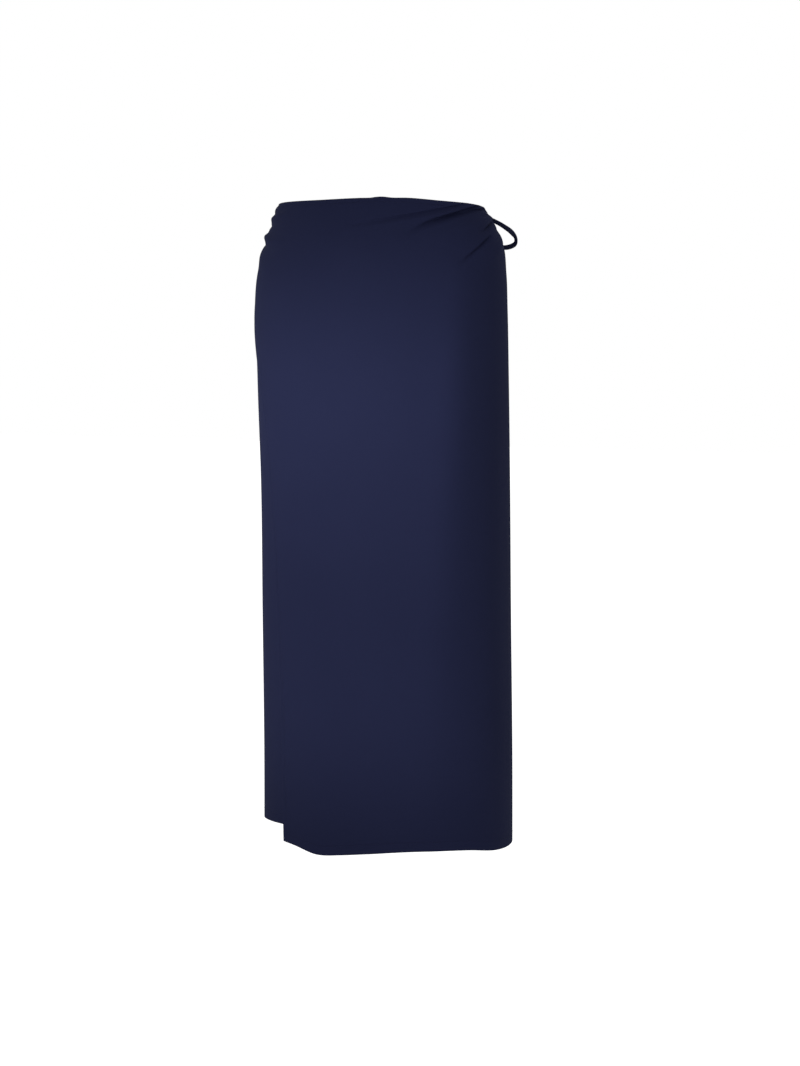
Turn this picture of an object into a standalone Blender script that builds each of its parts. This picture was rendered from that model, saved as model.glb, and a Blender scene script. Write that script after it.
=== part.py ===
"""A long wrap skirt of plain navy cloth, held in the hollow shape it has when worn.

The cloth goes once round a general figure and overlaps across the front. Each panel is a thin
wall on one form, a stack of rounded sections from the waist to the hem. A place on the form is
an angle, a drop and how far out it is. The angle goes round from the centre front (0) towards
the wearer's left (90) and the back (180). The drop goes down from the waist. Metres, +Z up, the
front faces -Y, the wearer's left is +X, and the origin is the centre of the waist opening.
"""

import math

import bpy
import numpy as np

# Cloth
WALL = 0.0015  # thickness of a panel
PIECE_GAP = 0.0003  # between neighbouring pieces
SKIRT_LENGTH = 0.922  # waist edge to hem, at the sides

# The form that the cloth hangs on. Leftward is how far a section's centre lies to the wearer's
# left, and a squareness of 2 is an ellipse.
SECTION_COLUMNS = ("drop", "half_breadth", "half_depth", "leftward", "squareness")
SECTIONS = (
    (0.000, 0.1540, 0.1110, 0.002, 2.0),
    (0.025, 0.1640, 0.1160, 0.001, 2.0),
    (0.060, 0.1795, 0.1250, 0.004, 2.0),
    (0.100, 0.1862, 0.1300, 0.002, 2.1),
    (0.150, 0.1892, 0.1340, 0.000, 2.1),
    (0.250, 0.1882, 0.1330, 0.003, 2.2),
    (0.400, 0.1860, 0.1320, 0.006, 2.3),
    (0.600, 0.1866, 0.1330, 0.009, 2.3),
    (0.800, 0.1880, 0.1350, 0.010, 2.2),
    (1.000, 0.1890, 0.1360, 0.010, 2.2),
)
TYPICAL_RADIUS = 0.160  # turns an angle on the form into a length of cloth
SMALL_ANGLE = 0.5  # degrees, and a small length, for finding which way the form faces
SMALL_LENGTH = 0.002

# Edges: how far a waist edge dips and how far each hem hangs below the skirt's length. The
# underlap's waist edge is level with the back's at the right seam and hidden beyond it.
WAIST_EDGE = (  # angle, dip
    (-100, 0.000),
    (-75, -0.002),
    (0, 0.000),
    (60, 0.003),
    (90, 0.005),
    (130, 0.003),
    (180, 0.000),
    (270, 0.000),
)
UNDER_WAIST_EDGE = (  # angle, dip
    (-90, 0.0000),
    (-80, 0.0010),
    (-65, 0.0025),
    (0, 0.0040),
    (60, 0.0070),
    (80, 0.0100),
    (95, 0.0135),
    (108, 0.0175),
)
FRONT_HEM = (  # angle, below
    (-98, 0.004),
    (-48, 0.005),
    (-36, 0.007),
    (-20, 0.013),
    (12, 0.004),
    (45, -0.004),
    (65, -0.002),
    (80, 0.006),
    (95, 0.010),
    (116, 0.009),
)
BACK_HEM = (  # angle, below
    (116, 0.009),
    (150, 0.002),
    (200, 0.000),
    (240, -0.002),
    (270, -0.006),
)
UNDER_HEM = (  # angle, below
    (-90, -0.006),
    (-77, -0.009),
    (-60, -0.015),
    (-48, -0.018),
    (0, -0.020),
    (108, -0.016),
)

# Seams and free edges
LEFT_SEAM = 116.0
RIGHT_SEAM = -90.0
FRONT_FREE_EDGE = (  # drop, angle
    (0.00, -98.0),
    (0.05, -96.0),
    (0.12, -82.0),
    (0.25, -63.0),
    (0.50, -51.0),
    (0.95, -44.0),
)
UNDER_FREE_EDGE = ((0.00, 108.0), (0.95, 90.0))  # drop, angle

# How far the panels' inner faces lie outside the form
FRONT_OUT = (  # angle, out
    (-98, 0.0023),
    (-75, 0.0022),
    (-48, 0.0021),
    (40, 0.0018),
    (116, 0.0000),
)
UNDER_OUT = (  # angle, out
    (-90, 0.0000),
    (-60, -0.0005),
    (40, -0.0025),
    (80, -0.0065),
    (108, -0.0078),
)

# Where the cloth is drawn together into a tie: the gather's angle and drop, how far it reaches
# along and down the cloth, and the share of the cloth's height that it takes up.
LEFT_GATHER = (116.0, 0.026, 0.060, 0.045, 0.60)
RIGHT_GATHER = (-98.0, 0.030, 0.026, 0.070, 0.88)

# Folds, each from its gather outwards: where it starts and ends, how far its middle bows down,
# its half width and its height (a trough is below zero).
RIGHT_FOLDS = (  # from angle, from drop, to angle, to drop, bow, half width, height
    (-98.0, 0.024, -52.0, 0.002, -0.006, 0.0045, 0.0030),
    (-98.0, 0.027, -48.0, 0.018, -0.003, 0.0045, 0.0032),
    (-98.0, 0.031, -44.0, 0.044, 0.002, 0.0065, 0.0036),
    (-98.0, 0.035, -50.0, 0.078, 0.006, 0.0065, 0.0034),
)
LEFT_FOLDS = (  # the same columns
    (96.0, 0.006, -2.0, 0.034, 0.005, 0.0030, -0.0016),
    (98.0, 0.010, 15.0, 0.044, 0.000, 0.0070, 0.0026),
    (98.0, 0.009, 38.0, 0.050, -0.004, 0.0045, -0.0036),
    (104.0, 0.018, 45.0, 0.072, -0.004, 0.0090, 0.0040),
    (106.0, 0.022, 64.0, 0.087, -0.003, 0.0045, -0.0030),
    (108.0, 0.030, 84.0, 0.100, 0.000, 0.0080, 0.0030),
    (119.0, 0.022, 165.0, 0.030, 0.004, 0.0060, 0.0028),
    (119.0, 0.030, 152.0, 0.070, 0.004, 0.0080, 0.0032),
    (118.0, 0.036, 136.0, 0.110, 0.002, 0.0080, 0.0026),
)

# Soft folds that open out towards the hem at the back
BACK_DRAPES = (  # angle, the drop where it starts, half width, height at the hem
    (150.0, 0.30, 0.030, 0.0060),
    (172.0, 0.38, 0.022, -0.0040),
    (196.0, 0.34, 0.034, 0.0070),
    (222.0, 0.36, 0.024, -0.0045),
    (240.0, 0.28, 0.026, 0.0050),
)

# The slit in the left seam that the inside tie comes through
SLIT_DROP = 0.0260
SLIT_HALF_HEIGHT = 0.0070
SLIT_HALF_WIDTH = 0.0045
SLIT_REACH = 0.012  # how far from the seam the cloth gives way to it

# Ties: a sewn tube of the same cloth
TIE_RADIUS = 0.0030
TIE_SIDES_SETTING = 2  # bevel resolution, which gives 8 sides
TIE_STEP = 0.0070  # between the points of a short tie's line
LONG_TIE_STEP = 0.0150
LINE_SAMPLES = 400  # along a tie's smooth line, before its even points are taken
KNOT_AROUND = 14  # points round the knot
KNOT_RINGS = 8  # rings of points between its two ends
KNOT_GROOVE = 0.10  # depth of the knot's groove, as a share of its size
KNOT_ANGLE = 116.0
KNOT_DROP = 0.0260
KNOT_OUT = 0.0076
KNOT_HALF_SIZES = (0.0056, 0.0075, 0.0070)  # out from the cloth, round it, up and down

# Routes of the ties, as (angle, drop, out)
ROUND_BACK_ROUTE = (
    (261.5, 0.0300, 0.0068),
    (254.0, 0.0290, 0.0054),
    (240.0, 0.0270, 0.0050),
    (220.0, 0.0250, 0.0050),
    (200.0, 0.0240, 0.0050),
    (180.0, 0.0235, 0.0050),
    (160.0, 0.0240, 0.0054),
    (145.0, 0.0250, 0.0060),
    (132.0, 0.0258, 0.0070),
    (124.0, 0.0260, 0.0074),
    (119.0, 0.0260, 0.0076),
)
INSIDE_ROUTE = (
    (108.6, 0.0270, -0.0070),
    (111.0, 0.0265, -0.0074),
    (113.6, 0.0260, -0.0066),
    (115.5, 0.0260, -0.0036),
    (116.0, 0.0260, 0.0012),
)
LOOP_ROUTE = (
    (113.4, 0.0261, 0.0104),
    (112.0, 0.0322, 0.0162),
    (111.4, 0.0415, 0.0222),
    (111.4, 0.0508, 0.0280),
    (112.2, 0.0584, 0.0312),
    (113.6, 0.0632, 0.0302),
    (115.4, 0.0652, 0.0250),
    (117.4, 0.0650, 0.0178),
    (119.2, 0.0622, 0.0120),
    (120.0, 0.0566, 0.0094),
    (119.8, 0.0490, 0.0090),
    (119.0, 0.0405, 0.0092),
    (117.8, 0.0323, 0.0086),
)
LONG_END_ROUTE = (
    (118.0, 0.0200, 0.0120),
    (121.0, 0.0165, 0.0165),
    (125.0, 0.0200, 0.0180),
    (128.5, 0.0330, 0.0150),
    (130.0, 0.0550, 0.0095),
    (130.5, 0.0850, 0.0066),
    (131.0, 0.1250, 0.0058),
    (131.0, 0.1650, 0.0052),
    (130.5, 0.2100, 0.0052),
)
SHORT_END_ROUTE = (
    (118.3, 0.0285, 0.0140),
    (121.5, 0.0290, 0.0185),
    (125.0, 0.0370, 0.0175),
    (126.5, 0.0520, 0.0130),
    (127.0, 0.0760, 0.0085),
    (126.5, 0.1050, 0.0064),
    (126.0, 0.1400, 0.0056),
    (126.5, 0.1700, 0.0052),
)

# Fineness of the panels: fine rows run from the waist down to where the gathers fade
FINE_DEPTH = 0.075
ROW_GROWTH = 1.4  # makes the rows below that taller towards the hem
EVEN_SHARE = 0.45  # of the columns' spacing, and the rest is closer together at the edges
FOLD_STEPS = 12

# Looks
NAVY = (0.0212, 0.0255, 0.0730, 1.0)
CLOTH_ROUGHNESS = 0.75
TIE_ROUGHNESS = 0.65
SHARP_ANGLE = 50.0  # degrees, above which an edge is shaded sharp


def curve_through(rows, at, column=1):
    """A column's value at a place, on a smooth curve through a table's rows."""
    places = np.array([row[0] for row in rows], float)
    values = np.array([row[column] for row in rows], float)
    slopes = np.gradient(values, places)
    at = np.clip(at, places[0], places[-1])
    i = np.clip(np.searchsorted(places, at, side="right") - 1, 0, len(places) - 2)
    step = places[i + 1] - places[i]
    s = (at - places[i]) / step
    return (
        (1 + 2 * s) * (1 - s) ** 2 * values[i]
        + s * (1 - s) ** 2 * step * slopes[i]
        + s**2 * (3 - 2 * s) * values[i + 1]
        - s**2 * (1 - s) * step * slopes[i + 1]
    )


def form_points(angle, drop):
    """Points on the form itself."""
    columns = range(1, len(SECTION_COLUMNS))
    breadth, depth, leftward, squareness = (curve_through(SECTIONS, drop, c) for c in columns)
    left, front = np.sin(np.radians(angle)), np.cos(np.radians(angle))
    sides = (np.abs(left) / breadth) ** squareness + (np.abs(front) / depth) ** squareness
    radius = sides ** (-1 / squareness)
    return np.stack([leftward + radius * left, -radius * front, -drop * np.ones_like(radius)], -1)


def cloth_points(angle, drop, out):
    """Points that lie a distance out from the form, square to it."""
    angle, drop, out = np.broadcast_arrays(angle, drop, out)
    round_it = form_points(angle + SMALL_ANGLE, drop) - form_points(angle - SMALL_ANGLE, drop)
    down_it = form_points(angle, drop + SMALL_LENGTH) - form_points(angle, drop - SMALL_LENGTH)
    outwards = np.cross(down_it, round_it)
    outwards /= np.linalg.norm(outwards, axis=-1, keepdims=True)
    return form_points(angle, drop) + outwards * out[..., None]


def drawn_in(angle, drop, gather):
    """The drop of cloth near a gather, which pulls it towards the gather's own drop."""
    centre, level, along, down, pull = gather
    aside = np.radians(angle - centre) * TYPICAL_RADIUS
    closeness = np.exp(-((aside / along) ** 2) - ((drop - level) / down) ** 2)
    return drop + (level - drop) * pull * closeness


def fold_height(angle, drop, folds):
    """How far the folds lift the cloth. A fold is highest a quarter of the way along."""
    place = np.stack([np.radians(angle) * TYPICAL_RADIUS, drop], -1)
    total = np.zeros(place.shape[:-1])
    for from_angle, from_drop, to_angle, to_drop, bow, half_width, height in folds:
        start = np.array([math.radians(from_angle) * TYPICAL_RADIUS, from_drop])
        end = np.array([math.radians(to_angle) * TYPICAL_RADIUS, to_drop])
        middle = (start + end) / 2 + np.array([0, 2 * bow])
        t = np.linspace(0, 1, FOLD_STEPS + 1)[:, None]
        line = (1 - t) ** 2 * start + 2 * t * (1 - t) * middle + t**2 * end
        nearest = np.full(total.shape, np.inf)
        along = np.zeros(total.shape)
        for i in range(FOLD_STEPS):
            piece = line[i + 1] - line[i]
            share = np.clip((place - line[i]) @ piece / (piece @ piece), 0, 1)
            distance = np.linalg.norm(place - line[i] - share[..., None] * piece, axis=-1)
            closer = distance < nearest
            nearest = np.where(closer, distance, nearest)
            along = np.where(closer, (i + share) / FOLD_STEPS, along)
        total += height * np.exp(-((nearest / half_width) ** 2)) * np.sin(np.pi * np.sqrt(along))
    return total


def drape_height(angle, drop, drapes):
    """How far the soft folds towards the hem lift the cloth."""
    total = np.zeros(angle.shape)
    for centre, start, half_width, height in drapes:
        aside = np.radians(angle - centre) * TYPICAL_RADIUS / half_width
        opened = np.clip((drop - start) / (SKIRT_LENGTH - start), 0, 1)
        total += height * np.exp(-(aside**2)) * opened**2 * (3 - 2 * opened)
    return total


def across_shares(columns):
    """Shares of the way across a panel, closer together towards its two edges."""
    even = np.linspace(0, 1, columns + 1)
    return EVEN_SHARE * even + (1 - EVEN_SHARE) * (1 - np.cos(np.pi * even)) / 2


def down_shares(fine_rows, coarse_rows):
    """Shares of the way down a panel, closer together near the waist."""
    fine = np.linspace(0, FINE_DEPTH / SKIRT_LENGTH, fine_rows, endpoint=False)
    rest = 1 - FINE_DEPTH / SKIRT_LENGTH
    coarse = np.linspace(0, 1, coarse_rows + 1) ** ROW_GROWTH
    return np.concatenate([fine, 1 - rest * (1 - coarse)])


def make_material(name, roughness):
    material = bpy.data.materials.new(name)
    material.use_nodes = True
    shader = material.node_tree.nodes["Principled BSDF"]
    shader.inputs["Base Color"].default_value = NAVY
    shader.inputs["Roughness"].default_value = roughness
    shader.inputs["Metallic"].default_value = 0.0
    material.diffuse_color = NAVY
    return material


def add_object(name, data, roughness):
    data.materials.append(make_material(name, roughness))
    piece = bpy.data.objects.new(name, data)
    bpy.context.scene.collection.objects.link(piece)
    piece.parent = waist
    return piece


def add_wall(name, outer, inner):
    """A closed wall between two grids of points, which share their rows and columns."""
    rows, columns = outer.shape[:2]
    points = np.concatenate([outer.reshape(-1, 3), inner.reshape(-1, 3)])

    def at(layer, row, column):
        return layer * rows * columns + row * columns + column

    faces = []
    for r in range(rows - 1):
        for c in range(columns - 1):
            square = ((r, c), (r + 1, c), (r + 1, c + 1), (r, c + 1))
            faces.append([at(0, *corner) for corner in square])
            faces.append([at(1, *corner) for corner in reversed(square)])
    around = [(0, c) for c in range(columns)]
    around += [(r, columns - 1) for r in range(1, rows)]
    around += [(rows - 1, c) for c in range(columns - 2, -1, -1)]
    around += [(r, 0) for r in range(rows - 2, 0, -1)]
    for this, following in zip(around, around[1:] + around[:1]):
        rim = (at(0, *this), at(0, *following), at(1, *following), at(1, *this))
        faces.append(rim)
    mesh = bpy.data.meshes.new(name)
    mesh.from_pydata(points.tolist(), [], faces)
    mesh.shade_smooth()
    mesh.set_sharp_from_angle(angle=math.radians(SHARP_ANGLE))
    return add_object(name, mesh, CLOTH_ROUGHNESS)


def slit_half_width(drop):
    """Half the gap in the left seam, which opens into a slit where the inside tie comes out."""
    opening = np.exp(-(((drop - SLIT_DROP) / SLIT_HALF_HEIGHT) ** 2))
    return PIECE_GAP / 2 + (SLIT_HALF_WIDTH - PIECE_GAP / 2) * opening


def angle_of(length):
    """The angle that a length of cloth spans."""
    return np.degrees(length / TYPICAL_RADIUS)


def panel_places(columns, rows, first_edge, last_edge, hem, waist_edge=WAIST_EDGE):
    """Angles and drops over a panel, before its gathers draw it in."""
    down = down_shares(*rows)[:, None]
    level = down * SKIRT_LENGTH
    across = across_shares(columns)[None, :]
    angle = first_edge(level) + (last_edge(level) - first_edge(level)) * across
    dip = curve_through(waist_edge, angle)
    drop = dip + (SKIRT_LENGTH + curve_through(hem, angle) - dip) * down
    return angle, drop


def add_front_panel():
    angle, drop = panel_places(
        columns=32,
        rows=(15, 17),
        first_edge=lambda level: curve_through(FRONT_FREE_EDGE, level),
        last_edge=lambda level: np.full_like(level, LEFT_SEAM),
        hem=FRONT_HEM,
    )
    for gather in (LEFT_GATHER, RIGHT_GATHER):
        drop = drawn_in(angle, drop, gather)
    near_seam = np.exp(-(LEFT_SEAM - angle) / angle_of(SLIT_REACH))
    out = curve_through(FRONT_OUT, angle) + fold_height(angle, drop, RIGHT_FOLDS + LEFT_FOLDS)
    angle = angle - angle_of(slit_half_width(drop)) * near_seam
    add_wall(
        "front_panel", cloth_points(angle, drop, out + WALL), cloth_points(angle, drop, out)
    )


def add_back_panel():
    angle, drop = panel_places(
        columns=22,
        rows=(12, 12),
        first_edge=lambda level: np.full_like(level, LEFT_SEAM),
        last_edge=lambda level: np.full_like(level, RIGHT_SEAM + 360 - angle_of(PIECE_GAP / 2)),
        hem=BACK_HEM,
    )
    drop = drawn_in(angle, drop, LEFT_GATHER)
    near_seam = np.exp(-(angle - LEFT_SEAM) / angle_of(SLIT_REACH))
    out = fold_height(angle, drop, LEFT_FOLDS) + drape_height(angle, drop, BACK_DRAPES)
    angle = angle + angle_of(slit_half_width(drop)) * near_seam
    add_wall(
        "back_panel", cloth_points(angle, drop, out + WALL), cloth_points(angle, drop, out)
    )


def add_under_panel():
    angle, drop = panel_places(
        columns=18,
        rows=(5, 12),
        first_edge=lambda level: np.full_like(level, RIGHT_SEAM + angle_of(PIECE_GAP / 2)),
        last_edge=lambda level: curve_through(UNDER_FREE_EDGE, level),
        hem=UNDER_HEM,
        waist_edge=UNDER_WAIST_EDGE,
    )
    out = curve_through(UNDER_OUT, angle)
    add_wall(
        "under_panel", cloth_points(angle, drop, out + WALL), cloth_points(angle, drop, out)
    )


def tie_line(route, step):
    """Evenly spaced points on a smooth curve through a route of (angle, drop, out) rows."""
    places = np.array(route)
    stops = cloth_points(places[:, 0], places[:, 1], places[:, 2])
    legs = np.linalg.norm(np.diff(stops, axis=0), axis=1)
    travelled = np.concatenate([[0], np.cumsum(legs)])
    rows = np.column_stack([travelled, stops])
    fine = np.linspace(0, travelled[-1], LINE_SAMPLES)
    line = np.column_stack([curve_through(rows, fine, column) for column in (1, 2, 3)])
    legs = np.linalg.norm(np.diff(line, axis=0), axis=1)
    travelled = np.concatenate([[0], np.cumsum(legs)])
    stations = np.linspace(0, travelled[-1], max(3, round(travelled[-1] / step) + 1))
    return np.column_stack([np.interp(stations, travelled, line[:, k]) for k in range(3)])


def add_tie(name, route, step):
    line = tie_line(route, step)
    curve = bpy.data.curves.new(name, "CURVE")
    curve.dimensions = "3D"
    curve.bevel_depth = TIE_RADIUS
    curve.bevel_resolution = TIE_SIDES_SETTING
    curve.use_fill_caps = True
    spline = curve.splines.new("POLY")
    spline.points.add(len(line) - 1)
    for point, place in zip(spline.points, line):
        point.co = (*place, 1.0)
    spline.use_smooth = True
    add_object(name, curve, TIE_ROUGHNESS)


def add_knot():
    """A small tight knot: a rounded body with the groove where one turn crosses another."""
    centre = cloth_points(KNOT_ANGLE, KNOT_DROP, KNOT_OUT)
    axes = np.array([
        cloth_points(KNOT_ANGLE, KNOT_DROP, KNOT_OUT + SMALL_LENGTH) - centre,
        cloth_points(KNOT_ANGLE + SMALL_ANGLE, KNOT_DROP, KNOT_OUT) - centre,
        cloth_points(KNOT_ANGLE, KNOT_DROP - SMALL_LENGTH, KNOT_OUT) - centre,
    ])
    axes /= np.linalg.norm(axes, axis=1, keepdims=True)
    turn = np.linspace(0, 2 * np.pi, KNOT_AROUND, endpoint=False)
    tilt = np.linspace(0, np.pi, KNOT_RINGS + 2)[1:-1, None]
    groove = 1 - KNOT_GROOVE * np.cos(2 * turn + tilt) * np.sin(tilt)
    shares = np.stack([
        np.sin(tilt) * np.cos(turn) * groove,
        np.sin(tilt) * np.sin(turn) * groove,
        np.cos(tilt) * np.ones_like(turn),
    ], -1).reshape(-1, 3)
    shares = np.concatenate([[[0, 0, 1]], shares, [[0, 0, -1]]])
    points = centre + (shares * KNOT_HALF_SIZES) @ axes
    last = len(points) - 1
    faces = []
    for i in range(KNOT_AROUND):
        j = (i + 1) % KNOT_AROUND
        faces.append((0, 1 + i, 1 + j))
        for ring in range(KNOT_RINGS - 1):
            upper, lower = 1 + ring * KNOT_AROUND, 1 + (ring + 1) * KNOT_AROUND
            faces.append((upper + i, lower + i, lower + j, upper + j))
        bottom = 1 + (KNOT_RINGS - 1) * KNOT_AROUND
        faces.append((bottom + i, last, bottom + j))
    mesh = bpy.data.meshes.new("tie_knot")
    mesh.from_pydata(points.tolist(), [], faces)
    mesh.shade_smooth()
    add_object("tie_knot", mesh, TIE_ROUGHNESS)


def clear_scene():
    for old in list(bpy.data.objects):
        bpy.data.objects.remove(old, do_unlink=True)


clear_scene()
waist = bpy.data.objects.new("waist", None)
bpy.context.scene.collection.objects.link(waist)
add_front_panel()
add_back_panel()
add_under_panel()
add_tie("tie_round_back", ROUND_BACK_ROUTE, LONG_TIE_STEP)
add_tie("tie_from_inside", INSIDE_ROUTE, TIE_STEP)
add_tie("tie_loop", LOOP_ROUTE, TIE_STEP)
add_tie("tie_end_long", LONG_END_ROUTE, TIE_STEP)
add_tie("tie_end_short", SHORT_END_ROUTE, TIE_STEP)
add_knot()
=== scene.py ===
# %% [markdown]
# # A long navy wrap skirt
#
# The skirt is one length of plain dark navy cloth that goes once round the body and overlaps
# across the front. The outer front's free edge is drawn together at the right hip into a tie,
# which runs round the back to the left hip. There it meets the tie of the hidden underlap, which
# comes out through a slit in the seam, and the two are knotted in a half bow.
#
# Everything is placed on one form, as a dressmaker drapes on a stand. A place on the form is an
# angle, a drop and how far out it is. The angle goes round from the centre front (0) towards the
# wearer's left (90) and the back (180), and the drop goes down from the waist.

# %% The frame
import math

import bpy
import numpy as np
from mathutils import Matrix, Vector


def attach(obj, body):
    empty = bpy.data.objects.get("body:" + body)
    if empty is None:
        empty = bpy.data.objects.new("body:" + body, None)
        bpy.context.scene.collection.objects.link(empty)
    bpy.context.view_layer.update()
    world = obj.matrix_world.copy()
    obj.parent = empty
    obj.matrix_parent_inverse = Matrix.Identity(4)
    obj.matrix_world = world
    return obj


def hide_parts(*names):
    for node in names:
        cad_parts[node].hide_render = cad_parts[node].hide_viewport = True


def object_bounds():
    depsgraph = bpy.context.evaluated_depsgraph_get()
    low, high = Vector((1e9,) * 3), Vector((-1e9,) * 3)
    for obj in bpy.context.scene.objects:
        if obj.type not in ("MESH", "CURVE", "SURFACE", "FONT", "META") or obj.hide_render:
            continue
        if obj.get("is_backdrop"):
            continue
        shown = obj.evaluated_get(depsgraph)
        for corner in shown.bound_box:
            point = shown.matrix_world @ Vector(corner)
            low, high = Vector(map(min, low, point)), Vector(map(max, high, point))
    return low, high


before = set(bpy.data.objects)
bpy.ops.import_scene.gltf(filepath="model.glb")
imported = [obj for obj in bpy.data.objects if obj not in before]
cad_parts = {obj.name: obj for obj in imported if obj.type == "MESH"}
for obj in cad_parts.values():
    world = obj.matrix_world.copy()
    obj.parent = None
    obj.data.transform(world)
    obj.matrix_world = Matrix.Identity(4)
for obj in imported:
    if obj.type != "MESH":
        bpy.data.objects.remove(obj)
cad_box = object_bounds()
print("frame:", ", ".join(sorted(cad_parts)))

# %% [markdown]
# ## The camera
#
# A camera's place can be set by hand, or worked out from how far it stands off, how high it is
# and which way it faces. The second is used, because it keeps the view easy to change. It stands
# a little to the wearer's left of the centre front, level with the upper thigh, and looks
# slightly down.

# %% Camera
CAMERA_AZIMUTH = 25.0  # degrees from straight in front, towards the wearer's left
CAMERA_DISTANCE = 2.8
CAMERA_HEIGHT = -0.195
CAMERA_PITCH = 5.8  # degrees down
CAMERA_YAW = 0.587  # degrees to the left, which puts the skirt a little left of the middle
LENS = 85.7  # mm, on a film 36 mm wide
FILM_WIDTH = 36.0


def on_circle(azimuth, distance, height):
    """A point seen from above, at an azimuth round the skirt."""
    turn = math.radians(azimuth)
    return Vector((distance * math.sin(turn), -distance * math.cos(turn), height))


def in_scene(name, data):
    """A new object in the scene that shows a mesh, a camera or a light."""
    thing = bpy.data.objects.new(name, data)
    bpy.context.scene.collection.objects.link(thing)
    return thing


lens = bpy.data.cameras.new("camera")
lens.sensor_fit = "HORIZONTAL"
lens.sensor_width = FILM_WIDTH
lens.lens = LENS
camera = in_scene("camera", lens)
upright = Matrix.Rotation(math.radians(90 - CAMERA_PITCH), 4, "X")
facing = Matrix.Rotation(math.radians(CAMERA_AZIMUTH - CAMERA_YAW), 4, "Z")
eye = on_circle(CAMERA_AZIMUTH, CAMERA_DISTANCE, CAMERA_HEIGHT)
camera.matrix_world = Matrix.Translation(eye) @ facing @ upright
bpy.context.scene.camera = camera
print("camera at", tuple(round(value, 3) for value in eye))

# %% [markdown]
# ## The form
#
# The hollow shape of the worn skirt is a stack of rounded sections. Each could be drawn by hand,
# but a short table of their sizes is easier to check against a tape measure. A smooth curve runs
# through the table's rows, so that any drop has its own section, and a place on the form is found
# from its angle and drop.

# %% Form
SKIRT_LENGTH = 0.922  # waist edge to hem, at the sides
TYPICAL_RADIUS = 0.160  # turns an angle on the form into a length of cloth
SMALL_ANGLE = 0.5  # steps either side of a place, between which the form's slope is measured
SMALL_DROP = 0.002
SECTIONS = (  # drop, half breadth, half depth, leftward, squareness
    (0.000, 0.1540, 0.1110, 0.002, 2.0),
    (0.025, 0.1640, 0.1160, 0.001, 2.0),
    (0.060, 0.1795, 0.1250, 0.004, 2.0),
    (0.100, 0.1862, 0.1300, 0.0012, 2.1),
    (0.150, 0.1892, 0.1340, 0.000, 2.1),
    (0.250, 0.1886, 0.1330, 0.002, 2.2),
    (0.400, 0.1864, 0.1320, 0.006, 2.3),
    (0.600, 0.1871, 0.1330, 0.008, 2.3),
    (0.800, 0.1894, 0.1350, 0.010, 2.2),
    (1.000, 0.1906, 0.1360, 0.010, 2.2),
)


def curve_through(rows, at, column=1):
    """A column's value at a place, on a smooth curve through a table's rows."""
    places = np.array([row[0] for row in rows], float)
    values = np.array([row[column] for row in rows], float)
    slopes = np.gradient(values, places)
    at = np.clip(at, places[0], places[-1])
    i = np.clip(np.searchsorted(places, at, side="right") - 1, 0, len(places) - 2)
    step = places[i + 1] - places[i]
    s = (at - places[i]) / step
    return (
        (1 + 2 * s) * (1 - s) ** 2 * values[i]
        + s * (1 - s) ** 2 * step * slopes[i]
        + s**2 * (3 - 2 * s) * values[i + 1]
        - s**2 * (1 - s) * step * slopes[i + 1]
    )


def form_points(angle, drop):
    """Points on the form itself."""
    breadth, depth, leftward, squareness = (curve_through(SECTIONS, drop, c) for c in (1, 2, 3, 4))
    left, front = np.sin(np.radians(angle)), np.cos(np.radians(angle))
    sides = (np.abs(left) / breadth) ** squareness + (np.abs(front) / depth) ** squareness
    radius = sides ** (-1 / squareness)
    return np.stack([leftward + radius * left, -radius * front, -drop * np.ones_like(radius)], -1)


def form_normals(angle, drop):
    """Directions straight out of the form."""
    round_it = form_points(angle + SMALL_ANGLE, drop) - form_points(angle - SMALL_ANGLE, drop)
    down_it = form_points(angle, drop + SMALL_DROP) - form_points(angle, drop - SMALL_DROP)
    outwards = np.cross(down_it, round_it)
    return outwards / np.linalg.norm(outwards, axis=-1, keepdims=True)


def cloth_points(angle, drop, out):
    """Points that lie a distance out from the form, square to it."""
    angle, drop, out = np.broadcast_arrays(angle, drop, out)
    return form_points(angle, drop) + form_normals(angle, drop) * out[..., None]


def girth(drop):
    """What a tape measure round the form would read."""
    angles = np.arange(0.0, 361.0)
    ring = form_points(angles, np.full(angles.shape, drop))
    return np.linalg.norm(np.diff(ring, axis=0), axis=1).sum()


print(f"girth: waist {girth(0.0):.2f} m, hips {girth(0.2):.2f} m, hem {girth(0.9):.2f} m")

# %% [markdown]
# ## Gathers and folds
#
# Where a tie pulls, the cloth bunches: its rows crowd towards the tie, and folds fan out from it
# and die away. A cloth simulation makes such folds too, but it doesn't put them where they are on
# this skirt. So each fold is a row of a table. It follows a bowed line on the form, is as wide
# and high as given, and is highest early on its way. Two narrow rows side by side, a ridge and a
# trough, make a crisp crease.

# %% Folds
# A gather's angle and drop, its reach along and down the cloth, and how much height it takes up
LEFT_GATHER = (116.0, 0.026, 0.060, 0.045, 0.60)
RIGHT_GATHER = (-98.0, 0.030, 0.026, 0.070, 0.88)
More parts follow.
